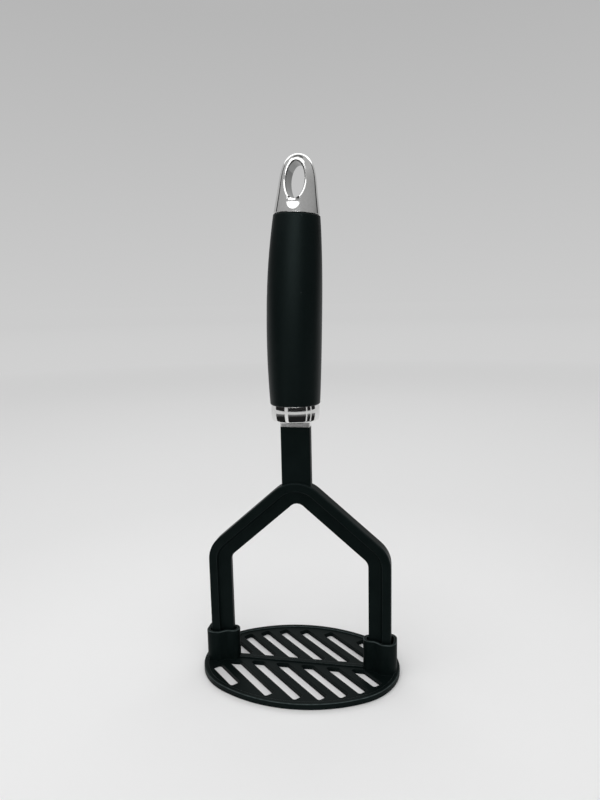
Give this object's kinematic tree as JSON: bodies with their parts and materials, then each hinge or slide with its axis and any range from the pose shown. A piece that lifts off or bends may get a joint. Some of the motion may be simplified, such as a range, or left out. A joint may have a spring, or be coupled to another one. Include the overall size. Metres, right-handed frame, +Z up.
{
  "type": "potato masher",
  "caption": "Potato masher with an oval slotted plate snapped under a house-shaped yoke, a flat shank and a soft black grip between a chrome ferrule and a chrome hanging cap.",
  "frame": {"origin": "middle of the flat underside of the mashing plate, on which the masher stands", "axes": "+Z up the handle, X along the yoke, -Y is the front; the handle bows slightly towards +X"},
  "size_m": [0.1072, 0.0772, 0.2682],
  "materials": {
    "nylon": "satin moulded black nylon",
    "chrome": "bright plated",
    "core_plastic": "hidden moulded plastic",
    "pin_steel": "plain drawn steel",
    "grip_rubber": "soft-touch matt black"
  },
  "bodies": {
    "root": {"mashing_plate": "nylon", "yoke": "nylon", "ferrule": "chrome", "handle_core": "core_plastic", "tang_pins": "pin_steel", "soft_grip": "grip_rubber", "end_cap": "chrome"}
  },
  "joints": []
}
